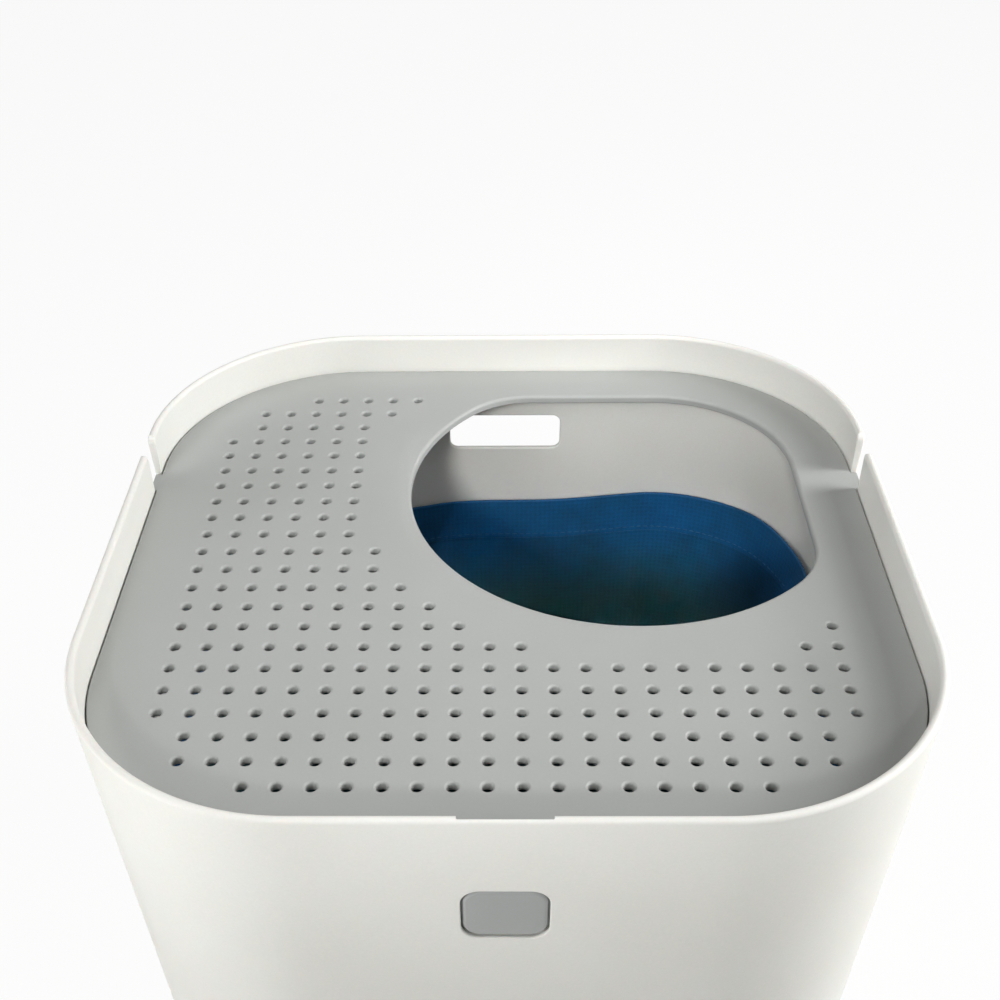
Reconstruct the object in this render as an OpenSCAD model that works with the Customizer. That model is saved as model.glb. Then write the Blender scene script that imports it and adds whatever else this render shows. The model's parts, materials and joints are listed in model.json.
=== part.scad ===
// Top entry litter box: a drafted, rounded-square tub with a perforated lid that swivels
// on two trunnions, a push-button latch in the front wall and a hanging cloth liner.
// Millimetres. Z is up, the floor is Z = 0, +X is right and +Y is the rear.

/* [Tub] */
// Outside width and depth at the rim
body_w = 406; // [380:1:430]
// Height from the floor to the rim
body_h = 381; // [350:1:420]
// Wall thickness
wall = 3.4; // [3:0.1:4]
// Outside corner radius at the rim
rim_corner_r = 113.5; // [105:0.5:120]
// Lean of each wall from upright, in degrees
draft = 1.5; // [1:0.1:2]
// Radius of the edge between the walls and the base
base_round = 14; // [10:1:20]
// Height of the rim above the lid's top face
rim_rise = 23.6; // [18:0.1:26]

/* [Lid] */
// Gap between the lid's edge and the tub wall
lid_gap = 1; // [0.9:0.1:1.5]
// Thickness of the lid's plate
lid_t = 2; // [1.8:0.1:2.4]
// Depth of the lid's edge below its top face
skirt_d = 8; // [6:0.5:10]
// Spacing of the perforations
pitch = 15.46; // [14:0.02:15.6]
// Bore of one perforation
bore_d = 5.2; // [4.5:0.1:6]

/* [Entry opening] */
// Distance of the big arc's centre from the lid's centre, along X and along Y
entry_c = 67.75; // [66:0.25:69]
// Radius of the big arc
entry_r = 121; // [116:1:121]
// Distance of the straight sides from the lid's centre
entry_side = 166.4; // [165:0.2:167]
// Radius of the corner nearest to the tub's rear right corner
entry_corner_r = 75; // [70:1:80]
// Radius that joins the big arc to the straight sides
entry_blend_r = 50; // [45:1:55]

/* [Hinge] */
// Distance of the swivel axis behind the centre
hinge_y = 73; // [70:0.5:76]
// Depth of the swivel axis below the lid's top face
hinge_drop = 5; // [4:0.5:6]
// Width of the notch in each side wall
notch_w = 19.6; // [19.2:0.1:21]

/* [Latch button] */
// Width of the button
button_w = 37.5; // [34:0.5:40]
// Height of the button
button_h = 31.5; // [28:0.5:34]
// Depth of the button's centre below the lid's top face
button_drop = 39.8; // [38:0.2:42]
// How far the button moves when it is pressed
button_travel = 3.5; // [2:0.5:4]

/* [Handle slot] */
// Width of the hand slot in the rear wall
slot_w = 73; // [65:1:90]
// Height of the hand slot
slot_h = 24; // [20:1:28]
// Depth of the slot's centre below the lid's top face
slot_drop = 45.2; // [42:0.2:50]

/* [Liner] */
// Depth of the liner's top edge below the lid's top face
liner_drop = 94; // [90:1:120]
// Thickness of the liner's cloth
liner_t = 1; // [0.8:0.1:1.5]
// Height of the folded hem
hem_h = 30; // [20:1:40]

/* [Hidden] */

$fn = 96;

white_plastic = "#e6e6e0";
grey_plastic = "#a3a5a3";
steel = "#b8babc";
blue_cloth = "#1c5a8c";
hem_cloth = "#226aa0";
dark_rubber = "#4a4c4d";

lid_z = body_h - rim_rise;
corner_c = body_w / 2 - rim_corner_r;

// Feet and base
foot_h = 2;
foot_sink = 1;
foot_d = 26;
foot_c = 128;
base_z = foot_h;
rim_round = 1.2;

// Lean of the walls as a slope
lean = tan(draft);

// Outside corner radius and half width at the height z
function out_r(z) = rim_corner_r - (body_h - z) * lean;
function out_half(z) = corner_c + out_r(z);
function in_half(z) = out_half(z) - wall;

// Points along an arc about [cx, cy], from angle a0 to angle a1, in n steps
function arc(cx, cy, r, a0, a1, n) =
    [for (k = [0:n]) let (a = a0 + (a1 - a0) * k / n) [cx + r * cos(a), cy + r * sin(a)]];

// Carries a profile round a rounded rectangle whose corner centres are at [+-cx, +-cy].
// The profile's X is the distance out from the corner centre, and its Y is the height.
module round_sweep(cx, cy) {
    for (q = [0:3]) {
        x = (q == 0 || q == 3) ? cx : -cx;
        y = (q < 2) ? cy : -cy;
        translate([x, y, 0])
            rotate([0, 0, 90 * q])
                rotate_extrude(angle = 90)
                    children();
    }
    for (q = [0:3]) {
        out = (q % 2 == 0) ? cx : cy;
        along = (q % 2 == 0) ? cy : cx;
        rotate([0, 0, 90 * q])
            translate([out, 0, 0])
                rotate([90, 0, 0])
                    linear_extrude(height = 2 * along, center = true)
                        children();
    }
}

// A solid rounded slab: the profile is swept, and its middle is filled from z0 to z1
module round_slab(cx, cy, z0, z1) {
    round_sweep(cx, cy) children();
    translate([-cx, -cy, z0])
        cube([2 * cx, 2 * cy, z1 - z0]);
}

// A plain slab with half sizes hx and hy and corner radius r
module plate(hx, hy, r, z0, z1) {
    round_slab(hx - r, hy - r, z0, z1)
        translate([0, z0])
            square([r, z1 - z0]);
}

// ---------------------------------------------------------------- tub

// Section of the tub from its base to its rim, outside first, then inside
module tub_profile() {
    foot_out = out_r(base_z + base_round);
    in_round = base_round - wall;
    rim_out = out_r(body_h);
    floor_z = base_z + wall;
    polygon(concat(
        [[0, base_z]],
        arc(foot_out - base_round, base_z + base_round, base_round, -90, -draft, 8),
        arc(rim_out - rim_round, body_h - rim_round, rim_round, 0, 90, 4),
        arc(rim_out - wall + rim_round, body_h - rim_round, rim_round, 90, 180, 4),
        arc(foot_out - wall - in_round, floor_z + in_round, in_round, -draft, -90, 8),
        [[0, floor_z]]
    ));
}

// Places its children on the outside of the front wall at the button's centre:
// X runs right, Y up the wall and Z out of it
button_z = lid_z - button_drop;
module on_front_wall() {
    translate([0, -out_half(button_z), button_z])
        rotate([90 + draft, 0, 0])
            children();
}

// The window that the button comes through, with a flared outer edge
window_gap = 0.8;
window_flare = 1.1;
window_r = 8.8;
module button_window() {
    hx = button_w / 2 + window_gap;
    hy = button_h / 2 + window_gap;
    depth = wall + 1;
    round_slab(hx - window_r, hy - window_r, -depth, window_flare)
        polygon([
            [0, -depth], [window_r, -depth], [window_r, -window_flare],
            [window_r + 2 * window_flare, window_flare], [0, window_flare]
        ]);
}

// The channel that the lid's catch comes down in: the inside of the rim, cut back
channel_w = 40;
channel_cut = 1.9;
channel_foot = 21;
module catch_channel() {
    top = rim_rise + button_drop + 5;
    translate([-channel_w / 2, button_drop - channel_foot, -wall - 8])
        cube([channel_w, top - button_drop + channel_foot, 8 + channel_cut]);
}

// The notch in each side wall: open at the rim, with a round seat for the trunnion
// Seen from the axis, -X is up, and the notch's edges meet the rim in rounded corners.
notch_rear_r = 4.5;
notch_front_r = 1.4;
module side_notch() {
    through = 2 * wall + 4;
    axis_z = lid_z - hinge_drop;
    rim_up = body_h - axis_z;
    translate([0, hinge_y, axis_z])
        rotate([0, 90, 0]) {
            cylinder(d = notch_w, h = through, center = true);
            translate([-rim_up - notch_w, -notch_w / 2, -through / 2])
                cube([rim_up + notch_w, notch_w, through]);
            notch_corner(notch_rear_r, rim_up, through);
            mirror([0, 1, 0])
                notch_corner(notch_front_r, rim_up, through);
        }
}

// What is cut off one corner of the notch to leave a round of radius r
module notch_corner(r, rim_up, through) {
    difference() {
        translate([-rim_up - 1, notch_w / 2 - 1, -through / 2])
            cube([r + 1, r + 1, through]);
        translate([r - rim_up, notch_w / 2 + r, 0])
            cylinder(r = r, h = through + 2, center = true);
    }
}

// A short ledge on a wall, with a sloping underside, that the lid's edge rests on.
// Its wall lies along Y at the distance in_half from the centre.
ledge_reach = 5.5;
ledge_len = 34;
rest_gap = 0.2;
ledge_z = lid_z - skirt_d - rest_gap;
module ledge() {
    w = in_half(ledge_z);
    rotate([90, 0, 0])
        linear_extrude(height = ledge_len, center = true)
            polygon([
                [w + wall / 2, ledge_z], [w - ledge_reach, ledge_z], [w - ledge_reach, ledge_z - 1.5],
                [w, ledge_z - ledge_reach - 3], [w + wall / 2, ledge_z - ledge_reach - 3]
            ]);
}

ledge_side_y = -70;
ledge_front_x = 62;
module tub_shell() {
    notch_x = in_half(lid_z) + wall / 2;
    color(white_plastic) {
        difference() {
            round_slab(corner_c, corner_c, base_z, base_z + wall)
                tub_profile();
            for (side = [-1, 1])
                translate([side * notch_x, 0, 0])
                    side_notch();
            translate([0, in_half(lid_z - slot_drop) + wall / 2, lid_z - slot_drop])
                rotate([90, 0, 0])
                    plate(slot_w / 2, slot_h / 2, 5, -wall * 2, wall * 2);
            on_front_wall() {
                button_window();
                catch_channel();
            }
            for (x = [-foot_c, foot_c])
                for (y = [-foot_c, foot_c])
                    translate([x, y, base_z - 1])
                        cylinder(d = foot_d, h = 1 + foot_sink);
        }
        for (side = [0, 180])
            rotate([0, 0, side])
                translate([0, side == 0 ? ledge_side_y : -ledge_side_y, 0])
                    ledge();
        for (x = [-ledge_front_x, ledge_front_x])
            translate([x, 0, 0])
                rotate([0, 0, -90])
                    ledge();
    }
}

// ---------------------------------------------------------------- lid

lid_r = out_r(lid_z) - wall - lid_gap;
lid_half = corner_c + lid_r;
skirt_t = 2.2;
edge_round = 1.2;

// Section of the lid's plate and of the skirt at its edge
module lid_profile() {
    polygon(concat(
        [[0, lid_z - lid_t], [lid_r - skirt_t, lid_z - lid_t], [lid_r - skirt_t, lid_z - skirt_d]],
        [[lid_r, lid_z - skirt_d]],
        arc(lid_r - edge_round, lid_z - edge_round, edge_round, 0, 90, 4),
        [[0, lid_z]]
    ));
}

// Centre of the arc that blends the big arc into the right-hand side. It touches both.
blend_x = entry_side - entry_blend_r;
blend_drop = sqrt(pow(entry_r - entry_blend_r, 2) - pow(blend_x - entry_c, 2));
blend_y = entry_c - blend_drop;
blend_a = atan2(blend_y - entry_c, blend_x - entry_c);
far_c = entry_side - entry_corner_r;

// Outline of the entry opening, grown by o all round. It is symmetric about the diagonal.
function entry_outline(o) = concat(
    arc(far_c, far_c, entry_corner_r + o, 0, 90, 24),
    arc(blend_y, blend_x, entry_blend_r + o, 90, 90 - blend_a, 14),
    arc(entry_c, entry_c, entry_r + o, 90 - blend_a, 360 + blend_a, 90),
    arc(blend_x, blend_y, entry_blend_r + o, blend_a, 0, 14)
);

// The opening as a solid to cut away. Each ring is the outline grown by o at the height z,
// so the cut widens in a quarter round at the top and in a small chamfer at the bottom.
lip_d = 5;
lip_t = 3;
lip_round = 2;
lip_chamfer = 0.6;
module entry_cutter() {
    low = lid_z - lip_d;
    round_z = lid_z - lip_round;
    rings = concat(
        [[lip_chamfer + 1, low - 1], [0, low + lip_chamfer]],
        [for (a = [0:18:72]) [lip_round * (1 - cos(a)), round_z + lip_round * sin(a)]],
        [[lip_round + 1, lid_z + 1]]
    );
    outlines = [for (r = rings) [for (p = entry_outline(r[0])) [p[0], p[1], r[1]]]];
    points = [for (o = outlines) each o];
    n = len(outlines[0]);
    sides = [
        for (k = [0:len(rings) - 2])
            for (m = [0:n - 1])
                let (p = k * n, q = (m + 1) % n)
                [p + m, p + n + m, p + n + q, p + q]
    ];
    bottom = [[for (m = [0:n - 1]) m]];
    top = [[for (m = [n - 1:-1:0]) (len(rings) - 1) * n + m]];
    polyhedron(points = points, faces = concat(sides, bottom, top));
}

// One perforation: a bore with a rounded upper edge, cut as one turned shape
dish = 0.9;
module perforation() {
    r = bore_d / 2;
    rotate_extrude($fn = 24)
        polygon([
            [0, -lid_t - 1], [r, -lid_t - 1], [r, -dish], [r + 0.3 * dish, -0.3 * dish],
            [r + dish, 0], [r + dish, 1], [0, 1]
        ]);
}

// The perforations fill a square grid, short of the lid's corners and of the entry opening
grid_n = 22;
hole_corner_r = 82.6;
hole_clear_c = 72;
hole_clear_r = 154.4;
function in_field(x, y) =
    let (dx = max(abs(x) - corner_c, 0), dy = max(abs(y) - corner_c, 0))
    norm([dx, dy]) < hole_corner_r && norm([x - hole_clear_c, y - hole_clear_c]) > hole_clear_r;

hole_places = [
    for (j = [0:grid_n - 1])
        for (i = [0:grid_n - 1])
            let (x = (i - (grid_n - 1) / 2) * pitch, y = (j - (grid_n - 1) / 2) * pitch)
            if (in_field(x, y)) [x, y]
];
echo(holes = len(hole_places));

// The trunnion on each side: round below, flat and flush with the lid above
trunnion_d = notch_w - 0.8;
trunnion_in = 13;
module trunnion() {
    tip = out_half(lid_z - hinge_drop) - 0.4;
    root = lid_half - trunnion_in;
    intersection() {
        translate([root, hinge_y, lid_z - hinge_drop])
            rotate([0, 90, 0])
                cylinder(d = trunnion_d, h = tip - root);
        translate([root - 1, hinge_y - trunnion_d, lid_z - 2 * trunnion_d])
            cube([tip - root + 2, 2 * trunnion_d, 2 * trunnion_d]);
    }
}

// The catch under the lid's front edge, which the latch holds by the ridge on its inner face
catch_w = 37;
catch_d = 16.5;
catch_gap = 0.7;
ridge = 1.8;
ridge_h = 2;
ridge_slope = 1.5;
module lid_catch() {
    top = lid_z - skirt_d;
    low = lid_z - catch_d;
    front = in_half(low) + channel_cut - catch_gap;
    back = lid_half - skirt_t;
    color(grey_plastic)
        rotate([90, 0, 90])
            linear_extrude(height = catch_w, center = true)
                polygon([
                    [-front, top], [-front, low], [-back + ridge, low],
                    [-back + ridge, low + ridge_h], [-back, low + ridge_h + ridge_slope], [-back, top]
                ]);
}

module lid_panel() {
    color(grey_plastic)
        difference() {
            union() {
                round_slab(corner_c, corner_c, lid_z - lid_t, lid_z)
                    lid_profile();
                // The lip's outside, below the plate
                translate([0, 0, lid_z - lip_d])
                    linear_extrude(height = lip_d - lid_t + 1)
                        polygon(entry_outline(lip_t));
                for (side = [0, 1])
                    mirror([side, 0, 0])
                        trunnion();
            }
            entry_cutter();
            for (p = hole_places)
                translate([p[0], p[1], lid_z])
                    perforation();
        }
}

// ---------------------------------------------------------------- latch

// All heights below are out of the front wall: 0 is its outer face, -wall its inner face
button_r = 8;
button_face = -0.6;
button_skin = 2;
button_edge = 1.4;
flange = 2;
flange_t = 2;
cap_back = -12;
cap_wall = 1.8;
arm_w = 10;
arm_front = -8.9;
arm_t = 3;
arm_gap = 0.6;
arm_top = button_drop - skirt_d - arm_gap;
nose_h = 3.2;
nose_reach = 0.3;

// The button's face, with a rounded edge, and the flange that stops it in the window
module button_cap() {
    cx = button_w / 2 - button_r;
    cy = button_h / 2 - button_r;
    flange_z = -wall - rest_gap;
    difference() {
        round_slab(cx, cy, cap_back, button_face)
            polygon(concat(
                [[0, cap_back], [button_r, cap_back], [button_r, flange_z - flange_t]],
                [[button_r + flange, flange_z - flange_t], [button_r + flange, flange_z], [button_r, flange_z]],
                arc(button_r - button_edge, button_face - button_edge, button_edge, 0, 90, 4),
                [[0, button_face]]
            ));
        plate(
            button_w / 2 - cap_wall, button_h / 2 - cap_wall, button_r - cap_wall,
            cap_back - 1, button_face - button_skin
        );
    }
}

// The arm that reaches up behind the lid's catch, and the nose at its top
module latch_arm() {
    low = button_h / 2 - cap_wall;
    translate([-arm_w / 2, low, arm_front - arm_t])
        cube([arm_w, arm_top - low, arm_t]);
    translate([-arm_w / 2, arm_top - nose_h, arm_front - arm_t])
        cube([arm_w, nose_h, arm_t + nose_reach]);
}

module latch_button() {
    color(grey_plastic)
        on_front_wall() {
            button_cap();
            latch_arm();
        }
}

// The pocket behind the window, fixed to the inside of the wall
housing_back = -19;
housing_skin = 2;
pocket_gap = 0.5;
module latch_housing() {
    hx = button_w / 2 + flange + pocket_gap;
    hy = button_h / 2 + flange + pocket_gap;
    r = button_r + flange + pocket_gap;
    color(white_plastic)
        on_front_wall()
            difference() {
                plate(hx + housing_skin, hy + housing_skin, r + housing_skin, housing_back, -wall);
                plate(hx, hy, r, housing_back + housing_skin, -wall + 1);
                slot = arm_w / 2 + pocket_gap;
                deep = arm_front - arm_t - button_travel - pocket_gap;
                translate([-slot, 0, deep])
                    cube([2 * slot, button_h, -wall + 1 - deep]);
            }
}

// The spring behind the button: a wire of 8 sides wound on a helix, its ends laid flat
spring_wire = 1;
spring_d = 12;
spring_turns = 6;
spring_steps = 16;
spring_front = button_face - button_skin - spring_wire / 2 - 0.05;
spring_back = housing_back + housing_skin + spring_wire / 2 + 0.05;
spring_n = spring_turns * spring_steps;

// Height along the spring after the share u of its turns: the end turns lie close
function spring_height(u) =
    let (s = min(max((u - 1 / spring_turns) / (1 - 2 / spring_turns), 0), 1))
    spring_back + (spring_front - spring_back) * (0.1 * u + 0.9 * s);

module latch_spring() {
    sides = 8;
    points = [
        for (k = [0:spring_n])
            for (m = [0:sides - 1])
                let (u = k / spring_n, a = 360 * spring_turns * u, b = 360 * m / sides)
                let (r = spring_d / 2 + spring_wire / 2 * cos(b))
                [r * cos(a), r * sin(a), spring_height(u) + spring_wire / 2 * sin(b)]
    ];
    rings = [
        for (k = [0:spring_n - 1])
            for (m = [0:sides - 1])
                let (p = k * sides, n = (m + 1) % sides)
                [p + m, p + sides + m, p + sides + n, p + n]
    ];
    start = [[for (m = [0:sides - 1]) m]];
    end = [[for (m = [sides - 1:-1:0]) spring_n * sides + m]];
    color(steel)
        on_front_wall()
            polyhedron(points = points, faces = concat(rings, start, end));
}

// ---------------------------------------------------------------- liner

liner_gap = 1.5;
liner_top = lid_z - liner_drop;
liner_floor = base_z + wall + 0.3;

// Outside corner radius of the liner at the height z
function liner_r(z) = out_r(z) - wall - liner_gap;

// Section of the bag: wall, rounded foot and floor
module liner_profile() {
    foot = base_round - wall - liner_gap + 3;
    foot_x = liner_r(liner_floor + foot);
    in_foot = foot - liner_t;
    polygon(concat(
        [[0, liner_floor]],
        arc(foot_x - foot, liner_floor + foot, foot, -90, -draft, 6),
        [[liner_r(liner_top), liner_top], [liner_r(liner_top) - liner_t, liner_top]],
        arc(foot_x - foot, liner_floor + foot, in_foot, -draft, -90, 6),
        [[0, liner_floor + liner_t]]
    ));
}

module liner_bag() {
    color(blue_cloth)
        round_slab(corner_c, corner_c, liner_floor, liner_floor + liner_t)
            liner_profile();
}

// The hem: a second layer of cloth folded down inside the bag's top edge
module liner_hem() {
    low = liner_top - hem_h;
    color(hem_cloth)
        round_sweep(corner_c, corner_c)
            polygon([
                [liner_r(low) - liner_t, low], [liner_r(liner_top) - liner_t, liner_top],
                [liner_r(liner_top) - 2 * liner_t, liner_top], [liner_r(low) - 2 * liner_t, low]
            ]);
}

// ---------------------------------------------------------------- feet

// One rubber pad in its recess, with a rounded lower edge
module foot_pad(x, y) {
    r = foot_d / 2 - 0.2;
    color(dark_rubber)
        translate([x, y, 0])
            rotate_extrude($fn = 48)
                polygon(concat(
                    [[0, 0]],
                    arc(r - 0.8, 0.8, 0.8, -90, 0, 3),
                    [[r, foot_h + foot_sink], [0, foot_h + foot_sink]]
                ));
}

module foot_front_left() foot_pad(-foot_c, -foot_c);
module foot_front_right() foot_pad(foot_c, -foot_c);
module foot_rear_left() foot_pad(-foot_c, foot_c);
module foot_rear_right() foot_pad(foot_c, foot_c);

tub_shell();
lid_panel();
lid_catch();
latch_button();
latch_housing();
latch_spring();
liner_bag();
liner_hem();
foot_front_left();
foot_front_right();
foot_rear_left();
foot_rear_right();
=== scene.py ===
# %% [markdown]
# # A top entry litter box
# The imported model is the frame: its bodies carry every piece, and it gives the places.
# Each lesson says what a piece or a finish is on the real object, how it could be made
# in Blender, and why this way was chosen.

# %% Load the frame
import json
import math

import bmesh
import bpy
import numpy as np
from mathutils import Matrix, Vector, geometry

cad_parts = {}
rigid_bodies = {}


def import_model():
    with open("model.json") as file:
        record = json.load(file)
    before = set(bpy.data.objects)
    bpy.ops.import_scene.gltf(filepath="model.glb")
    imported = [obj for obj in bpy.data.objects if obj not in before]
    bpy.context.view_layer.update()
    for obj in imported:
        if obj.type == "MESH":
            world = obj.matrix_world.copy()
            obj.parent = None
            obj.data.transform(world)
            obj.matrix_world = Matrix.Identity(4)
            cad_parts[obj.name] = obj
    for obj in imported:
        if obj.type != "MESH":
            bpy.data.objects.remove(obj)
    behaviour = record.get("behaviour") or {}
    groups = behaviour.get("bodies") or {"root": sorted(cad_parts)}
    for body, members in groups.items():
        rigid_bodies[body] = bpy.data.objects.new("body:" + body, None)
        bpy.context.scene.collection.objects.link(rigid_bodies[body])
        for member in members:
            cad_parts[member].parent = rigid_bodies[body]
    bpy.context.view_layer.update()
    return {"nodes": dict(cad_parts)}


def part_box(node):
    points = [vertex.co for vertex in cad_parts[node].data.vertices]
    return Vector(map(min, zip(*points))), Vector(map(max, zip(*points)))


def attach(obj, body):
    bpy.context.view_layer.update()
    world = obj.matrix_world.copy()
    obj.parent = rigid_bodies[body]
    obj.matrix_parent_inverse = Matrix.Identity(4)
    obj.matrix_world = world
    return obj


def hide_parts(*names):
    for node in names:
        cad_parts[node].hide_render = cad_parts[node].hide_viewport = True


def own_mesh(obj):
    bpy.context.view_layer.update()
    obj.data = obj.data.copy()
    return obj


for leftover in list(bpy.context.scene.objects):
    bpy.data.objects.remove(leftover)
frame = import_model()

# %% [markdown]
# ## Sizes
# The tub is one moulding: a rounded square that leans outwards as it rises, so that it
# leaves its mould. Four numbers give its outside: half the width at the rim, the radius
# of the corners there, the height and the lean. All sizes here are in millimetres, and
# they become metres only when a mesh is made.

# %% Sizes of the tub and the lid
MM = 0.001
tub_low, tub_high = (np.array(corner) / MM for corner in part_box("tub_shell"))
rim_half = tub_high[0]
rim_z = tub_high[2]
base_z = tub_low[2]
lid_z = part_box("lid_panel")[1].z / MM

draft = 1.5
wall = 3.4
rim_corner_r = 113.5
base_round = 14
rim_t = 4.4
rim_round = rim_t / 2
lid_gap = 0.8
lid_t = 2
skirt_d = 8
corner_c = rim_half - rim_corner_r
lean = math.tan(math.radians(draft))


def out_r(z):
    """Outside corner radius at the height z: the rim's, less the lean times the depth below it."""
    return rim_corner_r - (rim_z - z) * lean


def out_half(z):
    """Half the outside width at the height z."""
    return corner_c + out_r(z)


print(f"rim {2 * rim_half:.1f} wide, {rim_z:.1f} high, lid top at {lid_z:.1f}")

# %% [markdown]
# ## Surfaces as arrays
# Blender can model this with a curve and a bevel profile, or with extrusions by hand.
# Here each surface is a grid of points worked out with numpy: a profile is carried along
# a path, and whole arrays are computed at once. That keeps every real size in a name.

# %% Arcs, paths and profiles


def arc(cx, cy, r, start, end, steps):
    """Points on a circle of radius r about (cx, cy), from one angle to another in degrees."""
    a = np.radians(np.linspace(start, end, steps + 1))
    return np.column_stack([cx + r * np.cos(a), cy + r * np.sin(a)])


def square_path(cx, cy, corner_steps, side_steps=1):
    """Once round a rounded rectangle, anticlockwise from the right-hand side.

    Each step has the nearest point of the rectangle of corner centres, and the outward
    direction. A point of an outline is that point plus a radius times the direction.
    """
    corners = np.array([[cx, cy], [-cx, cy], [-cx, -cy], [cx, -cy]], float)
    share = np.linspace(0, 1, side_steps + 1)[1:-1, None]
    mids, outs = [], []
    for q in range(4):
        turn = arc(0, 0, 1, 90 * q, 90 * q + 90, corner_steps)
        side = corners[q] + (corners[(q + 1) % 4] - corners[q]) * share
        mids += [np.tile(corners[q], (len(turn), 1)), side]
        outs += [turn, np.tile(turn[-1], (len(side), 1))]
    return np.vstack(mids), np.vstack(outs)


def carry(path, profile, shrink=None):
    """A profile of (distance out, height) carried along a path: one row of points a step.

    Each point is the path's middle, times shrink where that is given, plus the distance
    out times the path's outward direction, at the profile's height.
    """
    mids, outs = path
    profile = np.asarray(profile, float)
    shrink = np.ones(len(profile)) if shrink is None else np.asarray(shrink, float)
    flat = mids[:, None, :] * shrink[None, :, None] + outs[:, None, :] * profile[None, :, :1]
    height = np.broadcast_to(profile[None, :, 1:], flat.shape[:2] + (1,))
    return np.concatenate([flat, height], axis=2)


def skin(grid, closed_rows=True, closed_cols=False):
    """A grid of points as a surface: a quad joins each point to the next row and column."""
    rows, cols = grid.shape[:2]
    r = np.arange(rows if closed_rows else rows - 1)[:, None]
    c = np.arange(cols if closed_cols else cols - 1)[None, :]
    r2 = (r + 1) % rows
    c2 = (c + 1) % cols
    quads = np.stack([r * cols + c, r2 * cols + c, r2 * cols + c2, r * cols + c2], axis=-1)
    return grid.reshape(-1, 3), [quads.reshape(-1, 4)]


def lids(grid):
    """The two ends of a closed tube of points: one flat face through each end column."""
    rows, cols = grid.shape[:2]
    first = np.arange(rows) * cols
    return grid.reshape(-1, 3), [first[None, :], first[None, :] + cols - 1]


def joined(surfaces):
    """Several surfaces as one array of points and one list of faces."""
    starts = np.cumsum([0] + [len(points) for points, _ in surfaces])
    faces = [
        row
        for start, (_, blocks) in zip(starts, surfaces)
        for block in blocks
        for row in (block + start).tolist()
    ]
    return np.vstack([points for points, _ in surfaces]), faces


# %% Making, cutting and shading a mesh
WELD = 2e-6


def make(name, surfaces, uv=None):
    """Puts surfaces into one mesh object, merges the points where they meet, faces it outwards.

    Each row of uv belongs to one point. A point that lies on another keeps its own row.
    """
    points, faces = joined(surfaces)
    mesh = bpy.data.meshes.new(name)
    mesh.from_pydata((points * MM).tolist(), [], faces)
    if uv is not None:
        corner = np.empty(len(mesh.loops), int)
        mesh.loops.foreach_get("vertex_index", corner)
        mesh.uv_layers.new(name="cloth").data.foreach_set("uv", uv[corner].ravel())
    work = bmesh.new()
    work.from_mesh(mesh)
    bmesh.ops.remove_doubles(work, verts=work.verts, dist=WELD)
    bmesh.ops.recalc_face_normals(work, faces=work.faces)
    work.to_mesh(mesh)
    work.free()
    piece = bpy.data.objects.new(name, mesh)
    bpy.context.collection.objects.link(piece)
    return piece


def combine(piece, tools, operation="DIFFERENCE"):
    """Cuts closed meshes out of a piece, or adds them to it with UNION, and deletes them."""
    for tool in tools:
        step = piece.modifiers.new("combine", "BOOLEAN")
        step.object = tool
        step.operation = operation
        step.solver = "EXACT"
    bpy.context.view_layer.update()
    shaped = piece.evaluated_get(bpy.context.evaluated_depsgraph_get())
    mesh = bpy.data.meshes.new_from_object(shaped)
    piece.modifiers.clear()
    piece.data = mesh
    mesh.name = piece.name
    for tool in tools:
        bpy.data.objects.remove(tool)
    return piece


def shade(piece, angle=32):
    """Smooth shading up to an angle, with large flat faces ruling the normals at their edges."""
    mesh = piece.data
    mesh.polygons.foreach_set("use_smooth", np.ones(len(mesh.polygons), bool))
    mesh.set_sharp_from_angle(angle=math.radians(angle))
    weighted = piece.modifiers.new("weighted normals", "WEIGHTED_NORMAL")
    weighted.keep_sharp = True
    return piece


def report(piece):
    """Prints a piece's size in millimetres, its faces, and how many of its edges are open."""
    work = bmesh.new()
    work.from_mesh(piece.data)
    size = np.array(piece.dimensions) / MM
    loose = sum(not edge.is_manifold for edge in work.edges)
    print(f"{piece.name}: {size.round(1)} mm, {len(work.faces)} faces, {loose} open edges")
    work.free()


# %% [markdown]
# ## The tub's wall
# The real tub is injection moulded, with one wall thickness all over and a radius on
# every edge. A Solidify modifier on an open shell could give the wall. A closed profile
# of the outside, the rounded rim, the inside and the floor gives the same wall and
# keeps the rim a true round, so the profile is carried round the square.

# %% The tub's section
lean_from = 60
lean_to = rim_z - 12


def tub_section():
    """Outside and then inside of the wall, from the base's middle round to the floor's.

    Above the lid the wall thickens to a full round at the rim, with its inside face upright.
    """
    foot = out_r(base_z + base_round)
    inner_round = base_round - wall
    top = out_r(rim_z)
    floor_z = base_z + wall
    heights = np.linspace(lean_from, lean_to, 6)
    outer = np.column_stack([out_r(heights), heights])
    return np.vstack([
        [[0, base_z]],
        arc(foot - base_round, base_z + base_round, base_round, -90, -draft, 14),
        outer,
        arc(top - rim_round, rim_z - rim_round, rim_round, 0, 180, 14),
        [[out_r(lid_z) - wall, lid_z]],
        outer[-2::-1] - [wall, 0],
        arc(foot - wall - inner_round, floor_z + inner_round, inner_round, -draft, -90, 12),
        [[0, floor_z]],
    ])


tub_path = square_path(corner_c, corner_c, 48, 6)
tub_grid = carry(tub_path, tub_section())
tub = make("tub_moulding", [skin(tub_grid), lids(tub_grid)])
report(tub)

# %% [markdown]
# ## Openings in the wall
# The wall has a notch on each side for the lid's trunnions, a hand slot at the rear, a
# window for the latch button and a shallow channel for the lid's catch. The window is
# a little larger than the button, most of all below it, and a rebate behind it leaves a
# thin lip, so the gap round the button looks dark. Moulded openings have rounded edges.
# A Bevel modifier after a Boolean often fails on long thin faces, so each cutting tool is
# itself flared at both faces of the wall, and leaves the round behind.

# %% Tools that cut rounded openings


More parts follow.
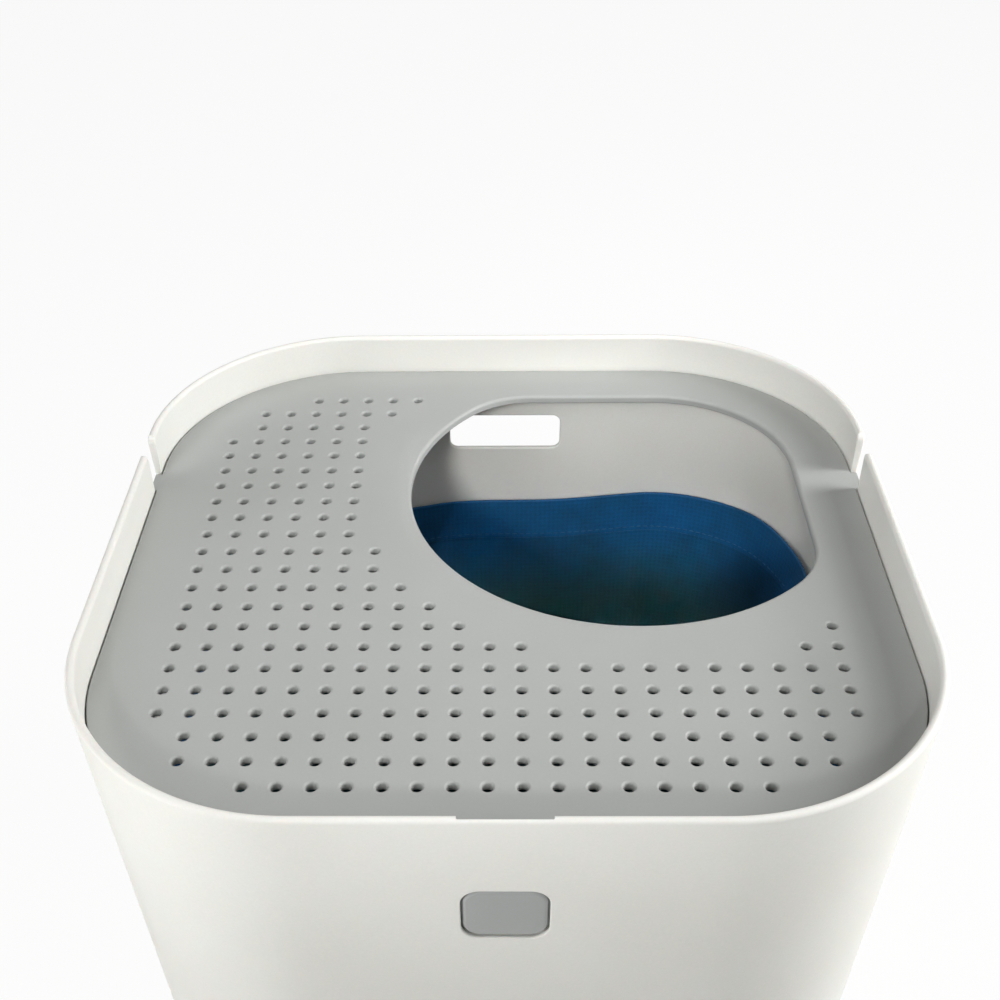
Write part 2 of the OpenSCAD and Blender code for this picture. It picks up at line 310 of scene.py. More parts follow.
def on_wall(points, z, quarter=0):
    """Points given as (along, up, out) about the height z on a wall's outer face.

    The wall leans by the draft. Quarter 0 is the front wall, 1 the right-hand wall, 2 the
    rear and 3 the left: each is the front wall's frame turned by that many right angles.
    """
    tilt = math.radians(90 + draft)
    along, up, out = points[..., 0], points[..., 1], points[..., 2]
    x = along
    y = up * math.cos(tilt) - out * math.sin(tilt) - out_half(z)
    height = up * math.sin(tilt) + out * math.cos(tilt) + z
    turns = [(x, y), (-y, x), (-x, -y), (y, -x)]
    return np.stack([*turns[quarter], height], axis=-1)


# Each tool goes on past the face that it cuts, so that the two never lie in one plane
past = 2
flare_turn = 75
run_on = 1.5


def flare(edge, depth=wall):
    """How far a tool widens, at each distance out of the wall's outer face.

    Along the tool it widens at the inner face, is straight through the wall, and widens
    again at the outer face. Each time it follows most of a quarter round, then runs on
    along the tangent, so that no two faces lie in one plane.
    """
    turn = np.radians(np.linspace(0, flare_turn, 6))
    wide = edge * (1 - np.cos(turn))
    deep = edge * (1 - np.sin(turn))
    end = np.array([math.sin(turn[-1]), math.cos(turn[-1])]) * run_on
    outer = np.column_stack([wide, -deep])
    outer = np.vstack([outer, outer[-1] + end])
    inner = np.column_stack([wide, deep - depth])
    inner = np.vstack([inner, inner[-1] + end * [1, -1]])
    return np.vstack([inner[::-1], outer])


def window_tool(name, half_w, half_h, r, edge, z, quarter):
    """A rounded rectangle through a wall, its edges rounded by the tool's flare."""
    path = square_path(half_w - r, half_h - r, 12)
    grid = on_wall(carry(path, flare(edge) + [r, 0]), z, quarter)
    return make(name, [skin(grid), lids(grid)])


hinge_y = 73
hinge_z = lid_z - 5
notch_r = 9.8
notch_rear_r = 4.5
notch_front_r = 1.4
notch_edge = 0.9
seat_hold = 32
corner_turn = 80
above_rim = 12


def notch_outline(widen, quarter):
    """The notch seen from outside: a round seat, then upright sides to the rim.

    In front the seat goes on round the stub above the axis, so that it holds it. The wall
    behind the notch ends in a rounded corner at the rim, and the wall before it in a small
    one. The outline runs above the rim, where it only cuts air.
    """
    r = notch_r + widen
    up = rim_z - hinge_z
    seat = arc(0, 0, r, 180 - seat_hold, 360, 36)
    rear_r = notch_rear_r - widen
    front_r = max(notch_front_r - widen, 0.1)
    front_x = seat[0, 0]
    rear = arc(r + rear_r, up - notch_rear_r, rear_r, 180, 180 - corner_turn, 8)
    front = arc(front_x - front_r, up - notch_front_r, front_r, corner_turn, 0, 5)
    top = [[r + notch_rear_r, up + above_rim], [front_x - past, up + above_rim]]
    outline = np.vstack([seat, rear, top, front])
    # On the left-hand wall the rear is on the other side of the notch
    return outline if quarter == 1 else (outline * [-1, 1])[::-1]


def with_depth(outline, out):
    """A flat outline with the same third coordinate at every point."""
    return np.column_stack([outline, np.full(len(outline), out)])


def notch_tool(quarter):
    """The side notch: its outline, widened by the flare at each distance out of the wall."""
    rings = [
        with_depth(notch_outline(widen, quarter), out)
        for widen, out in flare(notch_edge, rim_t)
    ]
    grid = np.stack(rings, axis=1)
    grid = grid + [hinge_y if quarter == 1 else -hinge_y, 0, 0]
    grid = on_wall(grid, hinge_z, quarter)
    return make(f"notch_{quarter}", [skin(grid), lids(grid)])


# %% Recesses for the feet, and ledges for the lid
foot_c = 128
foot_d = 26
recess_d = 1
recess_sides = 64
ledge_reach = 5.5
ledge_len = 34
ledge_gap = 0.2
ledge_t = 1.5
ledge_root = 3
ledge_edge = 0.6


def foot_recess(corner):
    """A shallow round recess under the base, cut by a disc that ends below it."""
    ring = arc(0, 0, 1, 0, 360, recess_sides)[:-1]
    path = (np.tile(np.array(corner) * foot_c, (recess_sides, 1)), ring)
    r = foot_d / 2
    grid = carry(path, [[r, base_z - past], [r, base_z + recess_d]])
    return make("recess", [skin(grid), lids(grid)])


def ledge(quarter, along):
    """A short shelf on the inside of a wall with a sloping underside, its front edge rounded.

    The lid's skirt comes down on it. Its back is sunk into the wall to be joined to it.
    """
    top = lid_z - skirt_d - ledge_gap
    low = top - ledge_reach - ledge_root
    inner = out_half(top) - wall
    edge = inner - ledge_reach + ledge_edge
    section = np.vstack([
        [[inner + wall / 2, top]],
        arc(edge, top - ledge_edge, ledge_edge, 90, 180, 4),
        arc(edge, top - ledge_t, ledge_edge, 180, 225, 3),
        [[inner, low], [inner + wall / 2, low]],
    ])
    ends = np.array([-ledge_len / 2, ledge_len / 2]) + along
    columns = [np.column_stack([np.full(len(section), end), section]) for end in ends]
    grid = np.stack(columns, axis=1)
    x, y, z = grid[..., 0], grid[..., 1], grid[..., 2]
    flat = [(x, -y), (y, x), (-x, y), (-y, -x)][quarter]
    grid = np.stack([*flat, z], axis=-1)
    return make("ledge", [skin(grid), lids(grid)])


# %% The channel for the catch
button_w = 37.5
button_h = 31.5
button_r = 8
button_z = lid_z - 39.8
channel_w = 40
channel_half_h = 30
channel_r = 1.2
channel_low = 18.8
channel_cut = 1.9
channel_bevel = 0.5
channel_past = 8

channel_path = square_path(channel_w / 2 - channel_r, channel_half_h, 6)
channel_section = [
    [channel_r, -wall - channel_past],
    [channel_r, -wall + channel_cut - channel_bevel],
    [channel_r - channel_bevel, -wall + channel_cut],
]
channel_grid = carry(channel_path, channel_section)
channel_grid = channel_grid + [0, channel_low + channel_half_h + channel_r, 0]
channel_grid = on_wall(channel_grid, button_z)
print(f"channel {channel_w} mm wide, {channel_cut} mm into the wall's inner face")

# %% The button's window, and the rebate behind it
window_gap = 0.8
window_drop = 0.6
window_edge = 0.7
window_lip = 1.3
rebate_reach = 1.2
window_w = button_w + 2 * window_gap
window_h = button_h + 2 * (window_gap + window_drop)
window_r = button_r + window_gap
window_z = button_z - window_drop

rebate_path = square_path(window_w / 2 - button_r, window_h / 2 - button_r, 12)
rebate_r = button_r + rebate_reach
rebate_grid = carry(rebate_path, [[rebate_r, -wall - past], [rebate_r, -window_lip]])
rebate_grid = on_wall(rebate_grid, window_z)
print(f"window {window_w:.1f} x {window_h:.1f} mm for a button of {button_w} x {button_h} mm")

# %% Cut the openings
slot_w = 73
slot_h = 24
slot_r = 5
slot_edge = 1.2
slot_z = lid_z - 45.2
ledge_side = 70
ledge_front = 62

tools = [
    make("channel", [skin(channel_grid), lids(channel_grid)]),
    make("rebate", [skin(rebate_grid), lids(rebate_grid)]),
    window_tool("hand_slot", slot_w / 2, slot_h / 2, slot_r, slot_edge, slot_z, 2),
    window_tool("window", window_w / 2, window_h / 2, window_r, window_edge, window_z, 0),
    notch_tool(1),
    notch_tool(3),
]
for corner in [(-1, -1), (1, -1), (1, 1), (-1, 1)]:
    tools.append(foot_recess(corner))
combine(tub, tools)
ledge_places = [(1, -ledge_side), (3, ledge_side), (0, -ledge_front), (0, ledge_front)]
combine(tub, [ledge(*place) for place in ledge_places], "UNION")
report(tub)
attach(tub, "tub")
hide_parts("tub_shell")
shade(tub)

# %% [markdown]
# ## The lid
# The lid is a second moulding: a flat plate with a shallow skirt at its edge, a rounded
# lip about the entry opening and a field of small holes, each with a collar below that
# makes it deep and dark to look into. Holes cut one by one with Booleans would be slow.
# A constrained triangulation fills the flat face between the outlines instead, so every
# hole is exact, and its rounded edge is a small turned surface that starts at the same
# points.

# %% The lid's outlines
lid_r = out_r(lid_z) - wall - lid_gap
lid_half = corner_c + lid_r
skirt_t = 2.2
skirt_bevel = 0.4
edge_round = 0.8
lip_d = 5
lip_t = 3
lip_round = 2
lip_chamfer = 0.6

entry_c = 67.75
entry_r = 121
entry_side = 166.4
entry_corner_r = 75
entry_blend_r = 50

pitch = 15.46
grid_n = 22
bore_r = 2.6
dish = 1.3
collar_t = 1.1
collar_d = 5
collar_bevel = 0.3
hole_sides = 24
hole_corner_r = 82.6
hole_clear_c = 72
hole_clear_r = 154.4


def entry_outline(grow):
    """The opening's outline, grown outwards. It is symmetric about the lid's diagonal.

    A corner arc touches the two straight sides. On each side a smaller arc leaves the
    side along its tangent and meets the big arc along the tangent there: its centre is
    one radius from the side, and the two centres are the difference of the radii apart.
    """
    blend_x = entry_side - entry_blend_r
    blend_y = entry_c - math.sqrt((entry_r - entry_blend_r) ** 2 - (blend_x - entry_c) ** 2)
    meet = math.degrees(math.atan2(blend_y - entry_c, blend_x - entry_c))
    corner = entry_side - entry_corner_r
    return np.vstack([
        arc(corner, corner, entry_corner_r + grow, 0, 90, 32),
        arc(blend_y, blend_x, entry_blend_r + grow, 90, 90 - meet, 20),
        arc(entry_c, entry_c, entry_r + grow, 90 - meet, 360 + meet, 120)[1:-1],
        arc(blend_x, blend_y, entry_blend_r + grow, meet, 0, 20),
    ])


def hole_places():
    """The places of a square grid that keep clear of the lid's corners and of the opening."""
    steps = (np.arange(grid_n) - (grid_n - 1) / 2) * pitch
    x, y = (side.ravel() for side in np.meshgrid(steps, steps))
    beyond = np.hypot(np.maximum(abs(x) - corner_c, 0), np.maximum(abs(y) - corner_c, 0))
    to_entry = np.hypot(x - hole_clear_c, y - hole_clear_c)
    keep = (beyond < hole_corner_r) & (to_entry > hole_clear_r)
    return np.column_stack([x, y])[keep]


def outline_rings(rings):
    """The opening's outline at several (growth, height) pairs, as a grid of points."""
    return np.stack([with_depth(entry_outline(grow), z) for grow, z in rings], axis=1)


def plane_with_holes(outlines, z):
    """A flat face at the height z inside the first outline and outside all the others.

    The outlines are convex, so a triangle with all its corners on one hole's outline lies
    in that hole, and is left out.
    """
    number = np.repeat(np.arange(len(outlines)), [len(outline) for outline in outlines])
    index = np.arange(len(number))
    last = np.append(number[1:] != number[:-1], True)
    first = np.searchsorted(number, number)
    edges = np.column_stack([index, np.where(last, first, index + 1)])
    flat = np.vstack(outlines)
    found = geometry.delaunay_2d_cdt(flat.tolist(), edges.tolist(), [], 1, 1e-5)
    points = np.array([tuple(point) for point in found[0]])
    triangles = np.array(found[2])
    on = number[[source[0] for source in found[3]]][triangles]
    in_hole = (on[:, 0] == on[:, 1]) & (on[:, 1] == on[:, 2]) & (on[:, 0] > 0)
    return with_depth(points, z), [triangles[~in_hole]]


def repeated(grid, places):
    """One surface copied to many places: the points are moved and the faces renumbered."""
    points, blocks = skin(grid)
    moved = points[None, :, :] + with_depth(places, 0)[:, None, :]
    step = np.arange(len(places))[:, None, None] * len(points)
    return moved.reshape(-1, 3), [(blocks[0][None, :, :] + step).reshape(-1, 4)]


places = hole_places()
print(f"{len(places)} holes of {2 * bore_r:.1f} mm on a {pitch} mm grid")

# %% The lid's moulding
turn = np.radians(np.linspace(0, 90, 6))
edge_path = square_path(corner_c, corner_c, 40)
edge_section = np.vstack([
    [[lid_r - skirt_t, lid_z - lid_t], [lid_r - skirt_t, lid_z - skirt_d]],
    [[lid_r - skirt_bevel, lid_z - skirt_d], [lid_r, lid_z - skirt_d + skirt_bevel]],
    arc(lid_r - edge_round, lid_z - edge_round, edge_round, 0, 90, 5),
])
lip_rings = np.vstack([
    np.column_stack([lip_round * (1 - np.sin(turn)), lid_z - lip_round * (1 - np.cos(turn))]),
    [[0, lid_z - lip_d + lip_chamfer], [lip_chamfer, lid_z - lip_d]],
    [[lip_t, lid_z - lip_d], [lip_t, lid_z - lid_t]],
])
hole_section = np.vstack([
    np.column_stack([bore_r + dish * (1 - np.sin(turn)), lid_z - dish * (1 - np.cos(turn))]),
    [[bore_r, lid_z - collar_d + collar_bevel], [bore_r + collar_bevel, lid_z - collar_d]],
    [[bore_r + collar_t, lid_z - collar_d], [bore_r + collar_t, lid_z - lid_t]],
])
sides = arc(0, 0, 1, 0, 360, hole_sides)[:-1]
hole_path = (np.zeros_like(sides), sides)


def lid_face(inset, grow, hole_r, z):
    """A flat face of the lid: its edge set in, the opening grown, and a circle at each hole."""
    mids, outs = edge_path
    circles = [place + hole_r * sides for place in places]
    return plane_with_holes([mids + outs * (lid_r - inset), entry_outline(grow), *circles], z)


lid = make("lid_moulding", [
    lid_face(edge_round, lip_round, bore_r + dish, lid_z),
    lid_face(skirt_t, lip_t, bore_r + collar_t, lid_z - lid_t),
    skin(carry(edge_path, edge_section)),
    skin(outline_rings(lip_rings)),
    repeated(carry(hole_path, hole_section), places),
])
report(lid)

# %% [markdown]
# ## The trunnions
# Two stubs at the lid's sides turn in the notches of the tub. Each is round below and cut
# off flush with the lid's top face, so it doubles as the flap that fills the notch. A
# cylinder and a knife cut would do. Here the clipped circle is one outline, drawn again
# smaller at the tip to round its edge, and a Boolean joins the stub to the lid.

# %% The trunnions
trunnion_gap = 0.4
trunnion_r = notch_r - trunnion_gap
tip_in = 0.4
tip_round = 0.8
root_in = 13
hinge_drop = lid_z - hinge_z


def trunnion_outline(inset):
    """A circle clipped at the lid's top face, in Y and Z about the swivel axis, set in all round."""
    r = trunnion_r - inset
    clip = math.degrees(math.asin((hinge_drop - inset) / r))
    return arc(0, 0, r, 180 - clip, 360 + clip, 40)


def trunnion(name, side):
    """The stub on one side: the outline carried along X from inside the lid, its tip rounded."""
    tip = out_half(hinge_z) - tip_in
    root = np.array([[0, lid_half - root_in]])
    bend = np.column_stack([tip_round * (1 - np.cos(turn)), tip - tip_round * (1 - np.sin(turn))])
    columns = []
    for inset, x in np.vstack([root, bend]):
        flat = trunnion_outline(inset)
        columns.append(np.column_stack([np.full(len(flat), side * x), flat + [hinge_y, hinge_z]]))
    grid = np.stack(columns, axis=1)
    return make(name, [skin(grid), lids(grid)])


combine(lid, [trunnion("stub_right", 1), trunnion("stub_left", -1)], "UNION")
report(lid)
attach(lid, "lid")
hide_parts("lid_panel")
shade(lid, 35)

# %% [markdown]
# ## The latch button
# The button is a small hollow cap. A flange round it stops it from coming out of its
# window, and an arm behind it reaches up to hold the lid's catch. Its face is slightly
# crowned, as a moulded key is. One closed profile gives the face, edge, flange and
# hollow. It is carried round a rounded rectangle, shrinking to a pole at the middle.

# %% The button's cap
button_face = 0.2
crown = 0.4
button_edge = 1.8
button_skin = 2
flange = 2
flange_t = 2
flange_front = -wall - 0.2
flange_back = flange_front - flange_t
cap_back = -12
cap_wall = 1.8

face_share = np.linspace(0, 1, 7)
face_rim = button_r - button_edge
face = np.column_stack([face_rim * face_share, button_face - crown * face_share**2])
side_and_hollow = np.vstack([
    arc(face_rim, button_face - crown - button_edge, button_edge, 80, 0, 6),
    [[button_r, flange_front], [button_r + flange, flange_front]],
    [[button_r + flange, flange_back], [button_r, flange_back], [button_r, cap_back]],
    [[button_r - cap_wall, cap_back], [button_r - cap_wall, button_face - button_skin]],
    [[0, button_face - button_skin]],
])
cap_section = np.vstack([face, side_and_hollow])
cap_shrink = np.concatenate([face_share, np.ones(len(side_and_hollow) - 1), [0]])
cap_path = square_path(button_w / 2 - button_r, button_h / 2 - button_r, 12)
cap_grid = on_wall(carry(cap_path, cap_section, cap_shrink), button_z)
button = make("button_moulding", [skin(cap_grid)])
report(button)

# %% The latch arm
arm_half = 5
arm_foot = 12
arm_top = 31.2
arm_back = -11.9
arm_front = -8.9
arm_bevel = 0.5
arm_edge = 0.4
nose_len = 2.6
nose_slope = 0.6
nose_front = arm_front + 0.3
nose_foot = arm_top - nose_len

arm_outline = np.array([
    [arm_foot, arm_back], [arm_top - arm_bevel, arm_back],
    [arm_top, arm_back + arm_bevel], [arm_top, nose_front - arm_bevel],
    [arm_top - arm_bevel, nose_front], [nose_foot, nose_front],
    [nose_foot - nose_slope, arm_front], [arm_foot, arm_front],
])
arm_inward = np.sign(arm_outline.mean(axis=0) - arm_outline)
arm_ends = [
    (-arm_half, arm_edge),
    (arm_edge - arm_half, 0),
    (arm_half - arm_edge, 0),
    (arm_half, arm_edge),
]
arm_grid = np.stack([
    np.column_stack([np.full(len(arm_outline), x), arm_outline + inset * arm_inward])
    for x, inset in arm_ends
], axis=1)
arm_grid = on_wall(arm_grid, button_z)
combine(button, [make("arm", [skin(arm_grid), lids(arm_grid)])], "UNION")
report(button)
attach(button, "button")
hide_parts("latch_button")
shade(button, 40)

# %% [markdown]
# ## The hanging liner
# The liner is a bag of woven sheet that hangs inside the wall. A cloth simulation could
# drop a flat sheet into the tub, but a stitched bag keeps its shape, so its few waves are
# written down instead: slow ones along the wall, seeded, that only push inwards from
# the wall. The top edge dips and rises as the photographed one does.

# %% The liner's surface
SEED = 11
rng = np.random.default_rng(SEED)

liner_gap = 1.5
cloth_t = 1.0
hem_h = 30
liner_floor = base_z + wall + 0.4
liner_foot = 12
foot_z = liner_floor + liner_foot

cloth_path = square_path(corner_c, corner_c, 44, 36)
cloth_path = tuple(np.vstack([side, side[:1]]) for side in cloth_path)


def liner_r(z):
    """Corner radius of the liner's outer face where it hangs flat, a small gap inside the wall."""
    return out_r(z) - wall - liner_gap


def along_path(path, r):
    """Distance along an outline from its first point: the sum of the lengths of its steps."""
    outline = path[0] + path[1] * r
    steps = np.hypot(*np.diff(outline, axis=0).T)
    return np.concatenate([[0], np.cumsum(steps)])


measured_z = 250
cloth_s = along_path(cloth_path, liner_r(measured_z))
total_s = cloth_s[-1]


def bump(s, middle, width, power=2):
    """A rise of height one: exp(-(d / width)^power), where d is the distance along the edge."""
    d = (s - middle + total_s / 2) % total_s - total_s / 2
    return np.exp(-(abs(d / width) ** power))


slow = [(k, rng.uniform(0, math.tau), rng.uniform(0.5, 1)) for k in (3, 5, 8, 13)]


def ripple(s, shift=0.0):
    """A sum of sines that repeats once round the bag, between -1 and 1."""
    waves = sum(
        size / k * np.sin(math.tau * k * s / total_s + phase + shift * k)
        for k, phase, size in slow
    )
    return waves / sum(size / k for k, _, size in slow)


# Each rise of the top edge: height, distance along the edge, half width and power
edge_rises = [(7.5, 80, 115, 4), (1.2, 75, 30, 2), (-5.5, 335, 30, 2)]
edge_low = 96.4
edge_ripple = 0.8
sag = 2.5
sag_count = 6
still_part = (160, 200, 4)


def edge_depth(s):
    """Depth of the bag's top edge below the lid's top face.

    It is a constant, less the rises, plus a ripple and a sine that is still at the rear.
    """
    raised = sum(rise * bump(s, *where) for rise, *where in edge_rises)
    sagging = sag * (1 - bump(s, *still_part)) * np.sin(math.tau * sag_count * s / total_s)
    return edge_low - raised + edge_ripple * ripple(s) + sagging


foot_fade = 60
drift_z = 300
soft_fold = 5.5
fine_fold = 1.6
fine_count = 10
fine_lean = 2.2
fine_sway = 3


def inward(s, z):
    """How far the cloth stands in from the wall: waves that fade out at the bag's foot."""
    fall = np.clip((z - foot_z) / foot_fade, 0, 1)
    fall = fall * fall * (3 - 2 * fall)
    drift = (z - foot_z) / drift_z
    soft = 0.5 + 0.5 * ripple(s, drift)
    phase = fine_lean * drift + fine_sway * ripple(s)
    fine = 0.5 + 0.5 * np.sin(math.tau * fine_count * s / total_s + phase)
    return fall * (soft_fold * soft + fine_fold * fine)


def on_cloth(s, depth, inset):
    """The point at a distance along the edge, a depth below it, and inset from the outer face."""
    mids, outs = cloth_path
    mid = np.stack([np.interp(s, cloth_s, mids[:, i]) for i in (0, 1)], axis=-1)
    out = np.stack([np.interp(s, cloth_s, outs[:, i]) for i in (0, 1)], axis=-1)
    out = out / np.linalg.norm(out, axis=-1, keepdims=True)
    z = lid_z - edge_depth(s) - depth
    r = liner_r(z) - inset - inward(s, z)
    return np.concatenate([mid + out * r[..., None], z[..., None]], axis=-1)


wall_steps = 30
floor_steps = 7
drop_share = np.linspace(0, 1, wall_steps)[None, :]
row_s = np.broadcast_to(cloth_s[:, None], (len(cloth_s), drop_share.shape[1]))
full_depth = lid_z - edge_depth(row_s) - foot_z
wall_grid = on_cloth(row_s, drop_share * full_depth, np.zeros_like(row_s))
foot_profile = arc(liner_r(foot_z) - liner_foot, foot_z, liner_foot, 0, -90, 7)
foot_grid = carry(cloth_path, foot_profile)
floor_share = np.linspace(1, 0, floor_steps)
floor_r = foot_profile[-1, 0] * floor_share
floor_profile = np.column_stack([floor_r, np.full(floor_steps, liner_floor)])
floor_grid = carry(cloth_path, floor_profile, floor_share)


def cloth_uv(grid, start=0.0):
    """The cloth's own coordinates in metres: along the edge, and down the face from its top."""
    steps = np.linalg.norm(np.diff(grid, axis=1), axis=2)
    down = np.concatenate([np.zeros((len(grid), 1)), np.cumsum(steps, axis=1)], axis=1) + start
    across = np.broadcast_to(cloth_s[:, None], down.shape)
    return np.stack([across, down], axis=-1).reshape(-1, 2) * MM


def open_skin(grid):
    """A grid whose last row already lies on its first one."""
    return skin(grid, closed_rows=False)


wall_surface = np.concatenate([wall_grid, foot_grid[:, 1:]], axis=1)
liner = make(
    "liner_cloth",
    [open_skin(wall_surface), open_skin(floor_grid)],
    np.vstack([cloth_uv(wall_surface), floor_grid[..., :2].reshape(-1, 2) * MM]),
)
thick = liner.modifiers.new("cloth thickness", "SOLIDIFY")
thick.thickness = cloth_t * MM
thick.offset = -1
report(liner)

# %% [markdown]
# ## The hem and its stitches
# The bag's top edge is folded inwards and sewn down. The hem is a second thickness of
# cloth that goes over the edge in a round fold and down inside. The stitches are a
# separate piece: one short rounded dash, copied along a line below the edge.

# %% The hem
hem_slack = 0.05
hem_start = 0.02
hem_steps = 8
hem_end_h = 0.5
hem_end_t = 0.3
fold = (cloth_t * 2 + hem_slack) / 2
hem_back = cloth_t + hem_slack
fold_arc = arc(fold, 0, fold, 180, 0, 8) * [1, -1]
hem_depths = np.linspace(0, hem_h, hem_steps + 1)
hem_section = np.vstack([
    np.column_stack([np.full(hem_steps, hem_back), hem_depths[:0:-1]]),
    [[hem_back, hem_start], [0, hem_start]],
    fold_arc[1:],
    np.column_stack([np.full(hem_steps - 1, 2 * fold), hem_depths[1:-1]]),
    [[2 * fold, hem_h - hem_end_h], [2 * fold - hem_end_t, hem_h]],
])
hem_s = np.broadcast_to(cloth_s[:, None], (len(cloth_s), len(hem_section)))
hem_inset, hem_depth = (hem_section[None, :, i] + 0 * hem_s for i in (0, 1))
hem_grid = on_cloth(hem_s, hem_depth, hem_inset)
hem_points, hem_faces = skin(hem_grid, closed_rows=False, closed_cols=True)
hem = make("liner_edge", [(hem_points, hem_faces)], cloth_uv(hem_grid))
report(hem)

# %% The stitches
stitch_len = 3.4
stitch_pitch = 4.8
stitch_r = 0.32
stitch_line = hem_h - 3.5
stitch_count = int(total_s / stitch_pitch)
stitch_s = (np.arange(stitch_count) + 0.5) * total_s / stitch_count
# A dash at five places: share of its length from its middle, and share of its radius
stations = np.array([[-0.5, 0.25], [-0.4, 0.85], [0, 1.15], [0.4, 0.85], [0.5, 0.25]])
run, swell = stations[None, None, :, 0], stations[None, None, :, 1]
ring = arc(0, 0, 1, 0, 360, 6)[:-1]
dash_s = stitch_s[:, None, None] + stitch_len * run + 0 * ring[None, :, :1]
dash_depth = stitch_line + stitch_r * ring[None, :, :1] * swell + 0 * dash_s
dash_inset = 2 * fold + stitch_r * ring[None, :, 1:] * swell + 0 * dash_s
dashes = on_cloth(dash_s, dash_depth, dash_inset)
stitch_surfaces = [surface for dash in dashes for surface in (skin(dash), lids(dash))]
stitches = make("liner_stitches", stitch_surfaces)
report(stitches)
print(f"{stitch_count} stitches round an edge of {total_s:.0f} mm")

for piece in (liner, hem, stitches):
    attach(piece, "tub")
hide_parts("liner_bag")
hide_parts("liner_hem")
for piece in (liner, hem, stitches):
    shade(piece, 60)

# %% [markdown]
# ## Finishes
# Each material is made of procedural nodes, so no picture is needed and the grain stays
# sharp at any distance. One function adds any node, with its settings and with the values
# or links of its inputs. Colours are written as sRGB hex codes, as a colour picker shows
# them, and made linear in one place.

# %% Helpers for materials


def linear(code):
    """An sRGB hex code as a linear colour: c / 12.92, or ((c + 0.055) / 1.055)^2.4 above 0.04045."""
    c = np.array([int(code[i:i + 2], 16) for i in (1, 3, 5)]) / 255
    c = np.where(c <= 0.04045, c / 12.92, ((c + 0.055) / 1.055) ** 2.4)
    return (*c.tolist(), 1.0)


def add(tree, kind, inputs=None, **settings):
    """Adds one node to a tree. Each input is given by name or number, as a value or as a link."""
    node = tree.nodes.new(f"ShaderNode{kind}")
    for name, value in settings.items():
        setattr(node, name, value)
    for socket, value in (inputs or {}).items():
        if isinstance(value, bpy.types.NodeSocket):
            tree.links.new(value, node.inputs[socket])
        else:
            node.inputs[socket].default_value = value
    return node


def per_mm(size):
    """The scale of a pattern whose features are that many millimetres wide."""
    return 1 / (size * MM)


def new_material(name):
    """An empty material, its tree and its output node."""
    material = bpy.data.materials.new(name)
    material.use_nodes = True
    material.node_tree.nodes.clear()
    return material, material.node_tree, add(material.node_tree, "OutputMaterial")


def blend_colours(tree, share, first, second, kind="MIX"):
    """A colour between two, by a share from 0 to 1."""
    mix = add(tree, "Mix", {0: share, 6: first, 7: second}, data_type="RGBA", blend_type=kind)
    return mix.outputs[2]


def ranged(tree, value, low, high):
    """A pattern's value from 0.3 to 0.7 stretched to run from low to high."""
    spread = add(tree, "MapRange", {"Value": value, 1: 0.3, 2: 0.7, 3: low, 4: high})
    return spread.outputs[0]


def cover(pieces, material):
    """Gives pieces a material in place of what they have."""
    for piece in pieces:
        piece.data.materials.clear()
        piece.data.materials.append(material)


# %% [markdown]
# ## Moulded plastic
# The tub and the lid are polypropylene from a finely spark-eroded mould. Such a surface
# is satin: it has a soft sheen and a grain too fine to see one by one. A single flat
# colour would look like paint, so the colour drifts a little over some centimetres, the
# roughness changes with it, and two sizes of noise raise a slight bump.

# %% Moulded plastics


def moulded_plastic(name, light, dark, rough, grain=0.35, depth=0.012, scatter=0.0):
    """A satin moulded plastic between two close colours, with a mould grain in millimetres."""
    material, tree, output = new_material(name)
    place = add(tree, "TexCoord").outputs["Object"]
    cloud = add(tree, "TexNoise", {"Vector": place, "Scale": per_mm(90), "Detail": 3.0})
    speck = add(tree, "TexNoise", {"Vector": place, "Scale": per_mm(1.3), "Detail": 2.0})
    fine = add(tree, "TexNoise", {"Vector": place, "Scale": per_mm(grain), "Detail": 2.0})
    wave = add(tree, "TexNoise", {"Vector": place, "Scale": per_mm(55), "Detail": 1.0})
    drift = ranged(tree, cloud.outputs[0], 0.0, 1.0)
    colour = blend_colours(tree, drift, linear(dark), linear(light))
    speckle = ranged(tree, speck.outputs[0], 0.985, 1.015)
    tint = add(tree, "CombineColor", {0: speckle, 1: speckle, 2: speckle})
    colour = blend_colours(tree, 1.0, colour, tint.outputs[0], "MULTIPLY")
    sheen_drift = ranged(tree, cloud.outputs[0], rough - 0.03, rough + 0.03)
    grained = add(tree, "Bump", {"Strength": 0.35, "Distance": depth * MM, "Height": fine.outputs[0]})
    waved = add(tree, "Bump", {
        "Strength": 0.25, "Distance": 0.25 * MM, "Height": wave.outputs[0], "Normal": grained.outputs[0],
    })
    shader = add(tree, "BsdfPrincipled", {
        "Base Color": colour, "Roughness": sheen_drift, "Normal": waved.outputs[0],
        "IOR": 1.49, "Subsurface Weight": scatter, "Subsurface Scale": 2 * MM,
    })
    tree.links.new(shader.outputs[0], output.inputs["Surface"])
    return material


white_plastic = moulded_plastic("white satin polypropylene", "#e9e9e4", "#e5e4de", 0.52, scatter=0.1)
grey_plastic = moulded_plastic("grey satin polypropylene", "#a9aba9", "#a4a6a3", 0.5)
key_plastic = moulded_plastic("grey polypropylene, smoother", "#a6a8a7", "#a0a3a2", 0.38, grain=0.25)
inner_plastic = moulded_plastic("white polypropylene, unpolished", "#e2e2db", "#dcdbd3", 0.5)
plastics = (white_plastic, grey_plastic, key_plastic, inner_plastic)
print("plastics:", [plastic.name for plastic in plastics])

# %% [markdown]
# ## Woven sheet
# The liner is coated blue sheet with a plain weave. The pattern is laid out in the
# cloth's own coordinates, which the grid gave it, so threads run along and up the wall.
# Two bands of waves are the two sets of threads, and a checker says which one is on top.
# The real threads are about 1 mm, and here they are drawn a little coarser, so that the
# weave doesn't vanish at the camera's distance. Lower down the colour turns to a much darker,
# greener teal between two heights of the bag: painted shade, deep in the covered tub.

# %% Woven liner cloth
# Between these two heights the cloth's colour is painted darker: painted shade deep in the tub
painted_shade_top = 238
painted_shade_low = 168
thread_w = 1.6


